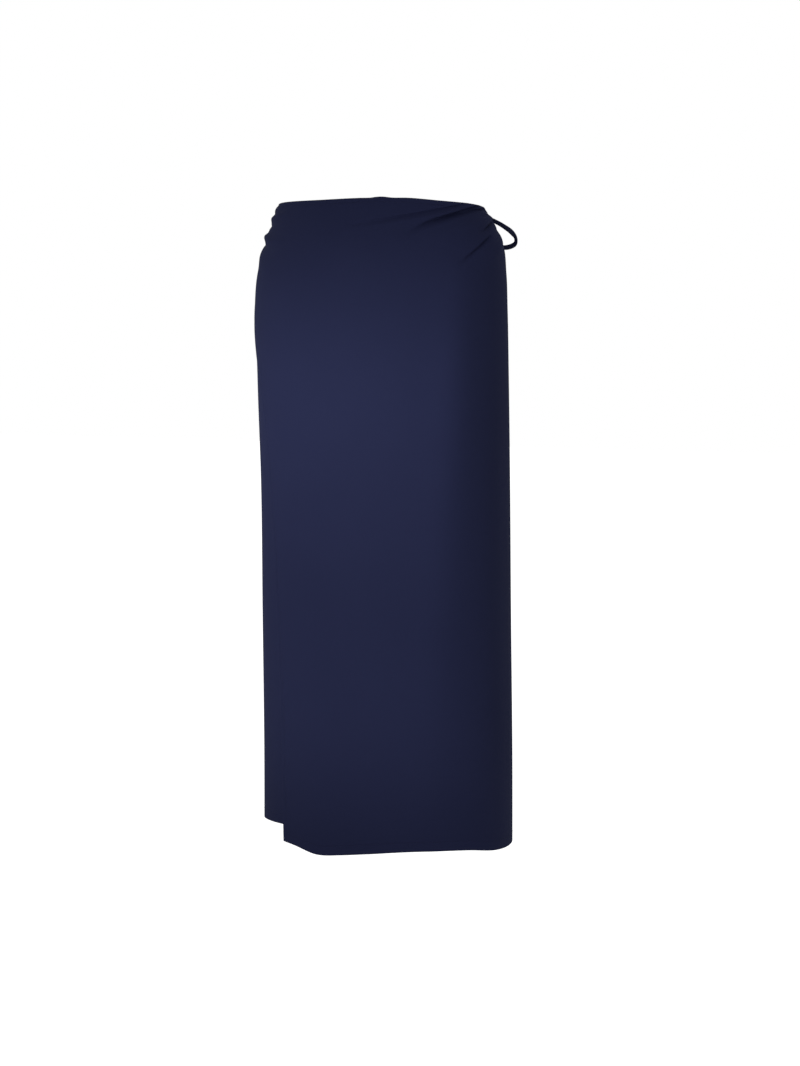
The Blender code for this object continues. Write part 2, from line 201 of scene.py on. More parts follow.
# from angle, from drop, to angle, to drop, bow, half width at its start, at its end, height, peak
RIGHT_FOLDS = (
    (-98.0, 0.024, -50.0, 0.001, -0.005, 0.0030, 0.0040, 0.0026, 0.25),
    (-98.0, 0.026, -46.0, 0.016, -0.001, 0.0035, 0.0050, 0.0034, 0.25),
    (-98.0, 0.030, -52.0, 0.030, 0.001, 0.0020, 0.0030, -0.0018, 0.30),
    (-98.0, 0.033, -46.0, 0.058, 0.003, 0.0032, 0.0070, 0.0046, 0.30),
    (-98.0, 0.040, -54.0, 0.072, 0.001, 0.0025, 0.0040, -0.0016, 0.35),
    (-98.0, 0.038, -50.0, 0.100, 0.006, 0.0055, 0.0120, 0.0028, 0.30),
)
LEFT_FOLDS = (
    (78.0, 0.0056, -4.0, 0.0372, 0.0060, 0.0018, 0.0036, -0.0042, 0.28),
    (90.0, 0.0070, 12.0, 0.0400, 0.0020, 0.0036, 0.0080, 0.0030, 0.25),
    (92.0, 0.0068, 37.0, 0.0545, -0.0070, 0.0022, 0.0026, -0.0090, 0.34),
    (94.0, 0.0122, 50.0, 0.0425, -0.0060, 0.0015, 0.0022, -0.0064, 0.30),
    (104.0, 0.0180, 44.0, 0.0620, -0.0040, 0.0055, 0.0110, 0.0040, 0.25),
    (101.5, 0.0205, 77.0, 0.0490, 0.0000, 0.0015, 0.0018, -0.0056, 0.35),
    (104.0, 0.0260, 76.0, 0.0580, 0.0000, 0.0050, 0.0090, 0.0026, 0.35),
    (84.5, 0.0500, 62.0, 0.0970, -0.0010, 0.0019, 0.0024, -0.0052, 0.35),
    (104.0, 0.0380, 74.0, 0.0980, -0.0020, 0.0060, 0.0100, 0.0022, 0.35),
    (104.0, 0.0150, 82.0, 0.0240, 0.0000, 0.0014, 0.0020, -0.0030, 0.40),
    (120.0, 0.0080, 88.0, 0.0130, 0.0000, 0.0090, 0.0070, -0.0034, 0.45),
    (119.0, 0.022, 165.0, 0.030, 0.004, 0.0045, 0.0070, 0.0028, 0.25),
    (119.0, 0.030, 152.0, 0.070, 0.004, 0.0050, 0.0090, 0.0032, 0.25),
    (118.0, 0.036, 136.0, 0.110, 0.002, 0.0055, 0.0095, 0.0026, 0.25),
    (121.0, 0.026, 150.0, 0.044, 0.003, 0.0022, 0.0035, -0.0016, 0.30),
    (120.0, 0.033, 142.0, 0.088, 0.002, 0.0025, 0.0040, -0.0016, 0.35),
)
# Soft drapes down the skirt, in the same columns
FRONT_DRAPES = (
    (64.0, 0.080, 42.0, 1.000, 0.000, 0.0250, 0.0420, 0.0065, 0.33),
    (60.0, 0.300, -80.0, 0.540, -0.010, 0.0350, 0.0450, -0.0016, 0.50),
    (-15.0, 0.420, -22.0, 1.100, 0.000, 0.0300, 0.0500, 0.0020, 0.70),
)
BACK_DRAPES = (  # angle, the drop where it starts, half width, height at the hem
    (150.0, 0.30, 0.030, 0.0060),
    (172.0, 0.38, 0.022, -0.0040),
    (196.0, 0.34, 0.034, 0.0070),
    (222.0, 0.36, 0.024, -0.0045),
    (240.0, 0.28, 0.026, 0.0050),
)
FOLD_STEPS = 14
FOLD_LEAN = 0.7  # how far a fold hangs down over the one below, as a share of its height


def drawn_in(angle, drop, gather):
    """The drop of cloth near a gather, which pulls it towards the gather's own drop."""
    centre, level, along, down, pull = gather
    aside = np.radians(angle - centre) * TYPICAL_RADIUS
    closeness = np.exp(-((aside / along) ** 2) - ((drop - level) / down) ** 2)
    return drop + (level - drop) * pull * closeness


def fold_line(fold):
    """The bowed line that a fold follows, as (length round the form, drop)."""
    from_angle, from_drop, to_angle, to_drop, bow = fold[:5]
    start = np.array([math.radians(from_angle) * TYPICAL_RADIUS, from_drop])
    end = np.array([math.radians(to_angle) * TYPICAL_RADIUS, to_drop])
    middle = (start + end) / 2 + np.array([0, 2 * bow])  # the curve goes half as far
    t = np.linspace(0, 1, FOLD_STEPS + 1)[:, None]
    return (1 - t) ** 2 * start + 2 * t * (1 - t) * middle + t**2 * end


def fold_height(angle, drop, folds):
    """How far the folds lift the cloth."""
    place = np.stack([np.radians(angle) * TYPICAL_RADIUS, drop], -1)
    total = np.zeros(place.shape[:-1])
    for fold in folds:
        start_width, end_width, height, peak = fold[5:]
        line = fold_line(fold)
        nearest = np.full(total.shape, np.inf)
        along = np.zeros(total.shape)
        for i in range(FOLD_STEPS):
            piece = line[i + 1] - line[i]
            share = np.clip((place - line[i]) @ piece / (piece @ piece), 0, 1)
            distance = np.linalg.norm(place - line[i] - share[..., None] * piece, axis=-1)
            closer = distance < nearest
            nearest = np.where(closer, distance, nearest)
            along = np.where(closer, (i + share) / FOLD_STEPS, along)
        half_width = start_width + (end_width - start_width) * along
        skew = math.log(0.5) / math.log(peak)  # moves the middle of a sine's hump to the peak
        rise = np.sin(np.pi * along**skew)
        total += height * np.exp(-((nearest / half_width) ** 2)) * rise
    return total


def soft_step(share):
    """Goes smoothly from 0 to 1 while the share goes from 0 to 1."""
    share = np.clip(share, 0, 1)
    return share**2 * (3 - 2 * share)


def drape_height(angle, drop, drapes):
    """How far the soft folds towards the hem lift the cloth."""
    total = np.zeros(angle.shape)
    for centre, start, half_width, height in drapes:
        aside = np.radians(angle - centre) * TYPICAL_RADIUS / half_width
        opened = soft_step((drop - start) / (SKIRT_LENGTH - start))
        total += height * np.exp(-(aside**2)) * opened
    return total


def front_lift(angle, drop):
    """How far the outer front stands out from the form because of its folds."""
    return fold_height(angle, drop, RIGHT_FOLDS + LEFT_FOLDS + FRONT_DRAPES)


def back_lift(angle, drop):
    """The same for the back."""
    return fold_height(angle, drop, LEFT_FOLDS) + drape_height(angle, drop, BACK_DRAPES)


print(len(RIGHT_FOLDS), "folds at the right hip,", len(LEFT_FOLDS), "at the left")

# %% [markdown]
# ## Building node trees
#
# Shaders and Geometry Nodes are both trees of nodes. Adding each node by hand takes three lines
# and hides the idea, so two small classes do it. `Tree.add` takes a node's type, its settings and
# the values or links of its sockets. `Value` wraps one number in a shader, and Python's own
# operators on it add the Math nodes.

# %% Node helpers


class Value:
    """One number that varies over a surface."""

    def __init__(self, tree, socket):
        self.tree = tree
        self.socket = socket

    def _math(self, operation, *operands):
        node = self.tree.add("ShaderNodeMath", {"operation": operation}, dict(enumerate(operands)))
        return Value(self.tree, node.outputs[0])

    def __add__(self, other):
        return self._math("ADD", self, other)

    def __sub__(self, other):
        return self._math("SUBTRACT", self, other)

    def __rsub__(self, other):
        return self._math("SUBTRACT", other, self)

    def __mul__(self, other):
        return self._math("MULTIPLY", self, other)

    def __truediv__(self, other):
        return self._math("DIVIDE", self, other)

    def __gt__(self, other):
        return self._math("GREATER_THAN", self, other)

    def __abs__(self):
        return self._math("ABSOLUTE", self)

    def sine(self):
        return self._math("SINE", self)

    def squared(self):
        return self._math("MULTIPLY", self, self)

    def exponential(self):
        return self._math("EXPONENT", self)

    __radd__ = __add__
    __rmul__ = __mul__


class Tree:
    """A node tree that is added to."""

    def __init__(self, tree):
        self.tree = tree

    def add(self, kind, settings=None, sockets=None):
        node = self.tree.nodes.new(kind)
        for name, value in (settings or {}).items():
            setattr(node, name, value)
        self.fill_all(node, sockets or {})
        return node

    def fill_all(self, node, sockets):
        for name, value in sockets.items():
            self.fill(node.inputs[name], value)

    def fill(self, socket, value):
        if isinstance(value, Value):
            self.tree.links.new(value.socket, socket)
        elif isinstance(value, bpy.types.NodeSocket):
            self.tree.links.new(value, socket)
        else:
            socket.default_value = value

    def value(self, socket):
        return Value(self, socket)


# %% [markdown]
# ## The navy cloth
#
# The cloth is a plain weave of fine yarns: smooth and matt, with hardly any shine. From afar it is
# an even dark navy, and close up each yarn passes over one neighbour and under the next. Its colour
# is painted darker where a yarn dips under and lighter on its crest, as painted shade; the broad
# clouds and slubs are real differences in the dye. The weave could be an image, but worked out from
# the cloth's own measurements it stays sharp at any distance. Every piece has a UV map in metres
# along and across its own yarns, so the weave bends with the cloth.
#
# Where the cloth's edge is turned in, the stitches pull a shallow line. Each panel stores how far
# a point is from its sewn edge, and the finish reads that attribute. The ties are the same cloth,
# but sewing, turning and pressing leave them a little smoother and glossier.

# %% Cloth finish
NAVY_YARN_LIGHT = (0.0250, 0.0300, 0.0820, 1.0)
NAVY_YARN_DEEP = (0.0172, 0.0210, 0.0620, 1.0)
YARN_PITCH = 0.00042  # centre to centre
YARN_ARCH = 0.45  # how much lower a yarn is where it goes under, as a share of its height
WEAVE_HEIGHT = 0.00008
BUMP_STRENGTH = 0.5
CLOUDS_PER_METRE = 9.0  # broad, faint differences in the dye
SLUBS_PER_METRE = 260.0  # thicker stretches of single yarns
SLUB_DETAIL = 3.0
SLUB_HEIGHT = 0.6  # as a share of the weave's height
WEAVE_PAINTED_SHADE, CLOUD_TONE, SLUB_TONE = 0.5, 0.30, 0.30  # what each adds to the lighter navy's share; the weave's share is painted shade, the others are dye
ROUGHNESS_RANGE = 0.16  # between the roughest and the smoothest yarns
SHEEN = 0.02
SHEEN_ROUGHNESS = 0.45
SHEEN_TINT = (0.30, 0.36, 0.62, 1.0)
HEM_TURN = 0.014  # how far in the hem's stitches are
EDGE_TURN = 0.007  # and those of the other edges
DIMPLE_WIDTH = 0.0009
DIMPLE_DEPTH = 5.0  # in weave heights


def plain_weave(tree, pitch):
    """Height of a plain weave, 0 to 1, from the UV map in metres."""
    uv = tree.add("ShaderNodeUVMap", {"uv_map": "yarns"})
    parts = tree.add("ShaderNodeSeparateXYZ", sockets={0: uv.outputs[0]})
    across = (tree.value(parts.outputs[0]) * (math.pi / pitch)).sine()
    down = (tree.value(parts.outputs[1]) * (math.pi / pitch)).sine()
    warp_on_top = across * down > 0
    warp = abs(across) * (1 - YARN_ARCH + YARN_ARCH * abs(down))
    weft = abs(down) * (1 - YARN_ARCH + YARN_ARCH * abs(across))
    return warp * warp_on_top + weft * (1 - warp_on_top)


def noise(tree, per_metre, detail=2.0):
    """A cloudy reading, about 0 to 1, that changes smoothly from place to place."""
    where = tree.add("ShaderNodeTexCoord").outputs["Object"]
    sockets = {"Vector": where, "Scale": per_metre, "Detail": detail}
    return tree.value(tree.add("ShaderNodeTexNoise", sockets=sockets).outputs[0])


def new_material(name):
    """A material, its tree to add to and its shader."""
    material = bpy.data.materials.new(name)
    material.use_nodes = True
    return material, Tree(material.node_tree), material.node_tree.nodes["Principled BSDF"]


def yarn_colour(tree, lightness):
    """A colour between the deep and the light yarn. A Mix node's inputs 6 and 7 are its colours."""
    sockets = {"Factor": lightness, 6: NAVY_YARN_DEEP, 7: NAVY_YARN_LIGHT}
    return tree.add("ShaderNodeMix", {"data_type": "RGBA"}, sockets).outputs[2]


def dimple(tree, turn):
    """A soft line, 0 to 1, where stitches hold the edge that is turned in this far."""
    reading = tree.add("ShaderNodeAttribute", {"attribute_name": "from_edge"})
    away = (tree.value(reading.outputs["Fac"]) - turn) / DIMPLE_WIDTH
    return (0 - away.squared()).exponential()


def cloth_finish(name, roughness, gloss, sewn_edges):
    """The woven cloth. Only a piece with the from_edge attribute has sewn edges."""
    material, tree, shader = new_material(name)
    weave = plain_weave(tree, YARN_PITCH)
    clouds = noise(tree, CLOUDS_PER_METRE)
    slubs = noise(tree, SLUBS_PER_METRE, SLUB_DETAIL)
    height = weave + SLUB_HEIGHT * slubs
    if sewn_edges:
        height = height - DIMPLE_DEPTH * dimple(tree, EDGE_TURN)
    bump = tree.add(
        "ShaderNodeBump",
        sockets={"Strength": BUMP_STRENGTH, "Distance": WEAVE_HEIGHT, "Height": height},
    )
    # painted shade: the colour follows the weave's height, darker where yarns dip; clouds and slubs add
    # real dye differences
    dye_and_painted_shade = WEAVE_PAINTED_SHADE * weave + CLOUD_TONE * clouds + SLUB_TONE * slubs
    smoothest = roughness - ROUGHNESS_RANGE / 2
    tree.fill_all(shader, {
        "Base Color": yarn_colour(tree, dye_and_painted_shade),
        "Roughness": smoothest + ROUGHNESS_RANGE * slubs,
        "Normal": bump.outputs[0],
        "Specular IOR Level": gloss,
        "Sheen Weight": SHEEN,
        "Sheen Roughness": SHEEN_ROUGHNESS,
        "Sheen Tint": SHEEN_TINT,
    })
    return material


cloth = cloth_finish("navy_cloth", roughness=0.80, gloss=0.06, sewn_edges=True)
tie_cloth = cloth_finish("navy_tie", roughness=0.60, gloss=0.24, sewn_edges=False)
print("finishes:", cloth.name, tie_cloth.name, f"at {YARN_PITCH * 1000:.2f} mm a yarn")

# %% [markdown]
# ## The ties' lines
#
# A tie is limp, so its line is one smooth curve through a few places where it is held or bends.
# Each place has an angle, a drop, how far out it is and a roll: how far the flat tie has turned
# about its own line, where 0 lies flat against the body. The lines are the construction model's.
# The flat tie only settles a little closer to the cloth than a round one would, and its loop and
# ends start further inside the knot.

# %% Tie lines
TIE_WIDTH = 0.0072
TIE_THICKNESS = 0.0022
CLOTH_THICKNESS = 0.0012
SETTLE = 0.0018  # a flat tie lies this much closer to the cloth than a round one
TIE_STEP = 0.0015
TIE_CLEARANCE = 0.0003
OVER_BACK = 117.0  # beyond this angle a tie lies over the back panel, and mustn't sink into it
LINE_SAMPLES = 800

ROUND_BACK_ROUTE = (  # angle, drop, out, roll
    (261.5, 0.0300, 0.0068, 0),
    (254.0, 0.0290, 0.0054, 0),
    (240.0, 0.0270, 0.0050, 0),
    (220.0, 0.0250, 0.0050, 0),
    (200.0, 0.0240, 0.0050, 0),
    (180.0, 0.0235, 0.0050, 0),
    (160.0, 0.0240, 0.0054, 0),
    (145.0, 0.0250, 0.0060, 0),
    (132.0, 0.0258, 0.0070, 0),
    (124.0, 0.0260, 0.0074, 0),
    (119.0, 0.0260, 0.0076, 0),
    (117.2, 0.0260, 0.0080, 0),
)
INSIDE_ROUTE = (
    (108.6, 0.0270, -0.0070, 0),
    (111.0, 0.0265, -0.0074, 0),
    (113.6, 0.0260, -0.0066, 0),
    (115.5, 0.0260, -0.0036, 0),
    (116.0, 0.0260, 0.0012, 0),
    (116.0, 0.0260, 0.0045, 0),
)
LOOP_ROUTE = (
    (115.0, 0.0242, 0.0086, 0),
    (113.6, 0.0246, 0.0100, -15),
    (112.0, 0.0322, 0.0162, -30),
    (111.4, 0.0415, 0.0222, -45),
    (111.4, 0.0508, 0.0280, -60),
    (112.2, 0.0584, 0.0312, -20),
    (113.6, 0.0632, 0.0302, -10),
    (115.4, 0.0652, 0.0250, -5),
    (117.4, 0.0650, 0.0178, 0),
    (119.2, 0.0622, 0.0120, 10),
    (120.0, 0.0566, 0.0094, 10),
    (119.8, 0.0490, 0.0090, 5),
    (119.0, 0.0405, 0.0092, 0),
    (118.0, 0.0335, 0.0086, 0),
    (117.0, 0.0290, 0.0086, 0),
)
LONG_END_ROUTE = (
    (116.5, 0.0240, 0.0100, 0),
    (118.0, 0.0200, 0.0120, 0),
    (121.0, 0.0165, 0.0165, 0),
    (125.0, 0.0200, 0.0180, 0),
    (128.5, 0.0330, 0.0150, 10),
    (130.0, 0.0550, 0.0095, 20),
    (130.5, 0.0850, 0.0066, 15),
    (131.0, 0.1250, 0.0058, 0),
    (131.0, 0.1650, 0.0052, -10),
    (130.5, 0.2100, 0.0052, 0),
)
SHORT_END_ROUTE = (
    (116.6, 0.0268, 0.0105, 0),
    (118.3, 0.0285, 0.0140, 0),
    (121.5, 0.0290, 0.0185, 0),
    (125.0, 0.0370, 0.0175, -10),
    (126.5, 0.0520, 0.0130, -20),
    (127.0, 0.0760, 0.0085, -10),
    (126.5, 0.1050, 0.0064, 0),
    (126.0, 0.1400, 0.0056, 10),
    (126.5, 0.1700, 0.0052, 0),
)


def travelled_along(line):
    """How far each point of a line is from its start, along it."""
    return np.concatenate([[0], np.cumsum(np.linalg.norm(np.diff(line, axis=0), axis=1))])


def tie_line(route):
    """Evenly spaced points along a tie, and the way that its flat side faces at each."""
    angle, drop, out, roll = np.array(route, float).T
    lowest = back_lift(angle, drop) + CLOTH_THICKNESS + TIE_CLEARANCE + TIE_THICKNESS / 2
    out = np.where(angle > OVER_BACK, np.maximum(out - SETTLE, lowest), out - SETTLE)
    stops = cloth_points(angle, drop, out)
    run = travelled_along(stops)
    table = np.column_stack([run, stops, form_normals(angle, drop), roll])
    fine = np.linspace(0, run[-1], LINE_SAMPLES)
    smooth = np.column_stack([curve_through(table, fine, c) for c in range(1, table.shape[1])])
    run = travelled_along(smooth[:, :3])
    stations = np.linspace(0, run[-1], round(run[-1] / TIE_STEP) + 1)
    even = np.column_stack([np.interp(stations, run, column) for column in smooth.T])
    line, away, roll = even[:, :3], even[:, 3:6], np.radians(even[:, 6])[:, None]
    along = np.gradient(line, axis=0)
    along /= np.linalg.norm(along, axis=1, keepdims=True)
    flat = away - along * (away * along).sum(1, keepdims=True)
    flat /= np.linalg.norm(flat, axis=1, keepdims=True)
    facing = flat * np.cos(roll) + np.cross(along, flat) * np.sin(roll)
    return line, facing


def length_of(line):
    return float(travelled_along(line)[-1])


for name, route in (
    ("round the back", ROUND_BACK_ROUTE),
    ("loop", LOOP_ROUTE),
    ("long end", LONG_END_ROUTE),
    ("short end", SHORT_END_ROUTE),
):
    print(f"tie, {name}: {length_of(tie_line(route)[0]):.3f} m")

# %% [markdown]
# ## Ties by Geometry Nodes
#
# The ties are rouleaux: narrow tubes of the skirt's own cloth, sewn, turned right side out and
# pressed flat. A curve's bevel would make them round, so Geometry Nodes sweep a flattened circle
# along each line instead. The curve's points carry the way that the tie faces, and the tree hands
# it to the sweep. A free end is turned in, so it gets narrower over its last few millimetres.

# %% Tie tree
OUTLINE_POINTS = 20
UNIT_RADIUS = 0.5  # of a shape 1 m across, which is then scaled to its real size


def growing_tree(name, sizes):
    """A Geometry Nodes tree whose inputs are lines, some sizes and a finish."""
    group = bpy.data.node_groups.new(name, "GeometryNodeTree")
    group.interface.new_socket("Geometry", in_out="OUTPUT", socket_type="NodeSocketGeometry")
    group.interface.new_socket("Lines", in_out="INPUT", socket_type="NodeSocketGeometry")
    for size, value in sizes.items():
        socket = group.interface.new_socket(size, in_out="INPUT", socket_type="NodeSocketFloat")
        socket.default_value = value
    group.interface.new_socket("Finish", in_out="INPUT", socket_type="NodeSocketMaterial")
    tree = Tree(group)
    given = tree.add("NodeGroupInput").outputs
    curves = tree.add("GeometryNodeMeshToCurve", sockets={"Mesh": given["Lines"]})
    return tree, given, curves.outputs[0]


def end_tree(tree, geometry, finish):
    """Makes the tree's geometry real and smooth, dresses it and gives it out."""
    real = tree.add("GeometryNodeRealizeInstances", sockets={0: geometry})
    smooth = tree.add("GeometryNodeSetShadeSmooth", sockets={0: real.outputs[0]})
    dressed = tree.add(
        "GeometryNodeSetMaterial", sockets={"Geometry": smooth.outputs[0], "Material": finish}
    )
    tree.add("NodeGroupOutput", sockets={0: dressed.outputs[0]})
    return tree.tree


def attribute_of(tree, name, kind):
    node = tree.add("GeometryNodeInputNamedAttribute", {"data_type": kind}, {"Name": name})
    return node.outputs["Attribute"]


def kept(tree, geometry, number):
    """The geometry with a number stored on its points, and that number further down the tree."""
    node = tree.tree.nodes.new("GeometryNodeCaptureAttribute")
    node.capture_items.new("FLOAT", "number")
    tree.fill(node.inputs[0], geometry)
    tree.fill(node.inputs[1], number)
    return node.outputs[0], node.outputs[1]


def flat_tie_tree():
    sizes = {"Width": TIE_WIDTH, "Thickness": TIE_THICKNESS}
    tree, given, line = growing_tree("flat_tie", sizes)
    turned = tree.add(
        "GeometryNodeSetCurveNormal",
        {"mode": "FREE"},
        {"Curve": line, "Normal": attribute_of(tree, "facing", "FLOAT_VECTOR")},
    )
    run = tree.add("GeometryNodeSplineParameter")
    turned_kept, along = kept(tree, turned.outputs[0], run.outputs["Length"])
    circle = tree.add(
        "GeometryNodeCurvePrimitiveCircle",
        {"mode": "RADIUS"},
        {"Resolution": OUTLINE_POINTS, "Radius": UNIT_RADIUS},
    )
    scale = {0: given["Thickness"], 1: given["Width"], 2: 1.0}
    flattened = tree.add("ShaderNodeCombineXYZ", sockets=scale)
    outline = tree.add(
        "GeometryNodeTransform", sockets={"Geometry": circle.outputs[0], "Scale": flattened.outputs[0]}
    )
    place = tree.add("GeometryNodeInputPosition")
    place_parts = tree.add("ShaderNodeSeparateXYZ", sockets={0: place.outputs[0]})
    outline_kept, across = kept(tree, outline.outputs[0], place_parts.outputs["Y"])
    swept = tree.add(
        "GeometryNodeCurveToMesh",
        sockets={
            "Curve": turned_kept,
            "Profile Curve": outline_kept,
            "Scale": attribute_of(tree, "scale", "FLOAT"),
            "Fill Caps": True,
        },
    )
    yarns = tree.add("ShaderNodeCombineXYZ", sockets={0: across, 1: along})
    mapped = tree.add(
        "GeometryNodeStoreNamedAttribute",
        {"data_type": "FLOAT2", "domain": "CORNER"},
        {"Geometry": swept.outputs[0], "Name": "yarns", "Value": yarns.outputs[0]},
    )
    return end_tree(tree, mapped.outputs[0], given["Finish"])


flat_tie = flat_tie_tree()
print("tree:", flat_tie.name, "with", len(flat_tie.nodes), "nodes")

# %% [markdown]
# A line reaches Geometry Nodes as a mesh of points and edges, because a mesh can carry named
# attributes and the tree makes a curve of it. What comes out is copied to a plain mesh, so that
# the finished piece has no live modifier.

# %% Lines in, plain meshes out
TIP_LENGTH = 0.004
TIP_SHARE = 0.5
SQUEEZED_LENGTH = 0.010  # how far from the knot a tie is still squeezed by it
SQUEEZED_SHARE = 0.6


def guide_of(name, lines, **readings):
    """A mesh of one or more chains of points, with what is read at each point as attributes."""
    chain = []
    count = 0
    for line in lines:
        chain += [(i, i + 1) for i in range(count, count + len(line) - 1)]
        count += len(line)
    mesh = bpy.data.meshes.new(name)
    mesh.from_pydata(np.concatenate(lines).tolist(), chain, [])
    for reading, values in readings.items():
        kind, field = ("FLOAT_VECTOR", "vector") if values.ndim == 2 else ("FLOAT", "value")
        mesh.attributes.new(reading, kind, "POINT").data.foreach_set(field, values.ravel())
    return in_scene(name, mesh)


def grown(guide, name, group, values):
    """The plain mesh object that a Geometry Nodes tree makes of a guide, which is then removed."""
    modifier = guide.modifiers.new("grow", "NODES")
    modifier.node_group = group
    for item in group.interface.items_tree:
        if item.in_out == "INPUT" and item.name in values:
            modifier[item.identifier] = values[item.name]
    graph = bpy.context.evaluated_depsgraph_get()
    mesh = bpy.data.meshes.new_from_object(guide.evaluated_get(graph), depsgraph=graph)
    bpy.data.objects.remove(guide, do_unlink=True)
    mesh.name = name
    return in_scene(name, mesh)


def round_step(share):
    """Goes from 0 to 1 as a quarter of a circle rises, while the share goes from 0 to 1."""
    return np.sqrt(1 - (1 - np.clip(share, 0, 1)) ** 2)


def size_along(line, start, end):
    """The tie's size along its line: smaller where an end is a turned-in tip or enters the knot."""
    run = travelled_along(line)
    size = np.ones(len(line))
    for from_end, kind in ((run, start), (run[-1] - run, end)):
        if kind == "tip":
            size = np.minimum(size, TIP_SHARE + (1 - TIP_SHARE) * round_step(from_end / TIP_LENGTH))
        if kind == "knot":
            growth = soft_step(from_end / SQUEEZED_LENGTH)
            size = np.minimum(size, SQUEEZED_SHARE + (1 - SQUEEZED_SHARE) * growth)
    return size


# %% [markdown]
# ## The ties themselves
#
# Every piece rides on a body and, if it takes the place of a solid of the construction model, that
# solid is hidden. The skirt is one body, so they all ride on its root.
#
# Each stretch that shows between the cloth and the knot is a piece of its own. The stretch round
# the back is taut, and the loop and the ends are loose. The short stretch that comes out of the
# slit goes with the loop, because the knot holds both.

# %% Make the ties


def join_part(piece, node=None):
    """Makes a piece part of the skirt, in place of one of the construction model's solids."""
    if node:
        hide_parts(node)
    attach(piece, "root")


def add_tie(name, node, route, start="knot", end="knot"):
    line, facing = tie_line(route)
    guide = guide_of(name + "_line", [line], facing=facing, scale=size_along(line, start, end))
    piece = grown(guide, name, flat_tie, {"Finish": tie_cloth})
    join_part(piece, node)
    print(f"{name}: {length_of(line):.3f} m, {len(piece.data.polygons)} faces")
    return piece, line


back_tie, back_line = add_tie("tie_round_the_back", "tie_round_back", ROUND_BACK_ROUTE, start=None)
inside_tie, _ = add_tie("tie_from_the_slit", "tie_from_inside", INSIDE_ROUTE, start=None)
loop, loop_line = add_tie("bow_loop", "tie_loop", LOOP_ROUTE)
long_end, long_line = add_tie("long_tie_end", "tie_end_long", LONG_END_ROUTE, end="tip")
short_end, short_line = add_tie("short_tie_end", "tie_end_short", SHORT_END_ROUTE, end="tip")

# %% [markdown]
# ## The knot
#
# A tight knot in a flat tie is a small pillow with a band drawn across it. The pillow is a rounded
# body with pinched sides, and the band is a short flat stretch that goes round it, swept by the
# same tree as the ties. Modelling the crossed turns one by one would only hide most of them.

# %% Knot
KNOT_ANGLE = 116.0
KNOT_DROP = 0.0260
KNOT_OUT = 0.0074
KNOT_HALF_SIZES = np.array([0.0058, 0.0080, 0.0070])  # out, round the skirt, up and down
KNOT_AROUND = 32
KNOT_UP = 18
KNOT_PINCH = 0.16  # how much narrower the knot is at its waist, as a share
PINCH_REACH = 0.35  # how far up and down the pinch reaches, as a share of the knot's half height
CREASE_DEPTH = 0.05
CREASES_AROUND = 5
CREASES_DOWN = 3
BAND_WIDTH = 0.0060
BAND_THICKNESS = 0.0016
BAND_LIFT = 0.4  # how far its middle is outside the pillow, as a share of its thickness
BAND_TILT = 24.0  # degrees from upright
BAND_STEPS = 40


def knot_frame():
    """The knot's centre, and its axes: out from the cloth, round the skirt and up."""
    angle, drop = np.array(KNOT_ANGLE), np.array(KNOT_DROP)
    centre = cloth_points(angle, drop, np.array(KNOT_OUT))
    away = form_normals(angle, drop)
    round_it = form_points(angle + 1, drop) - form_points(angle, drop)
    round_it -= away * (round_it @ away)
    round_it /= np.linalg.norm(round_it)
    return centre, np.stack([away, round_it, np.cross(away, round_it)])


def closed_grid_faces(rings, around):
    """Faces of a body of rings between two end points, which come first and last."""
    faces = []
    last = 1 + rings * around
    for i in range(around):
        j = (i + 1) % around
        faces.append((0, 1 + i, 1 + j))
        for ring in range(rings - 1):
            upper, lower = 1 + ring * around, 1 + (ring + 1) * around
            faces.append((upper + i, lower + i, lower + j, upper + j))
        bottom = 1 + (rings - 1) * around
        faces.append((bottom + i, last, bottom + j))
    return faces


def add_knot():
    centre, axes = knot_frame()
    turn = np.linspace(0, 2 * np.pi, KNOT_AROUND, endpoint=False)
    tilt = np.linspace(0, np.pi, KNOT_UP + 2)[1:-1, None]
    at_waist = np.exp(-((np.cos(tilt) / PINCH_REACH) ** 2))
    pinch = 1 - KNOT_PINCH * at_waist * np.sin(turn) ** 2
    creases = 1 + CREASE_DEPTH * np.cos(CREASES_AROUND * turn + CREASES_DOWN * tilt)
    shares = np.stack([
        np.sin(tilt) * np.cos(turn) * creases,
        np.sin(tilt) * np.sin(turn) * pinch * creases,
        np.cos(tilt) * np.ones_like(turn),
    ], -1).reshape(-1, 3)
    shares = np.concatenate([[[0, 0, 1]], shares, [[0, 0, -1]]])
    mesh = bpy.data.meshes.new("knot")
    points = centre + (shares * KNOT_HALF_SIZES) @ axes
    mesh.from_pydata(points.tolist(), [], closed_grid_faces(KNOT_UP, KNOT_AROUND))
    layer = mesh.uv_layers.new(name="yarns")
    corner = np.empty(len(mesh.loops), np.int32)
    mesh.loops.foreach_get("vertex_index", corner)
    flat = (shares * KNOT_HALF_SIZES)[:, 1:]
    layer.data.foreach_set("uv", flat[corner].ravel())
    mesh.shade_smooth()
    mesh.materials.append(tie_cloth)
    return in_scene("knot", mesh)


def add_knot_band():
    """The turn that is drawn across the knot."""
    centre, axes = knot_frame()
    away, round_it, up = axes
    tilt = math.radians(BAND_TILT)
    lengthwise = up * math.cos(tilt) + round_it * math.sin(tilt)
    turn = np.linspace(0, 2 * np.pi, BAND_STEPS)[:, None]
    thick, _, tall = KNOT_HALF_SIZES + BAND_THICKNESS * BAND_LIFT
    facing = away * np.cos(turn) + lengthwise * np.sin(turn)
    line = centre + away * np.cos(turn) * thick + lengthwise * np.sin(turn) * tall
    guide = guide_of("knot_band_line", [line], facing=facing, scale=np.ones(len(line)))
    values = {"Width": BAND_WIDTH, "Thickness": BAND_THICKNESS, "Finish": tie_cloth}
    return grown(guide, "knot_band", flat_tie, values)


knot = add_knot()
knot_band = add_knot_band()
join_part(knot, "tie_knot")
join_part(knot_band)
print("knot:", len(knot.data.polygons), "faces, band:", len(knot_band.data.polygons))

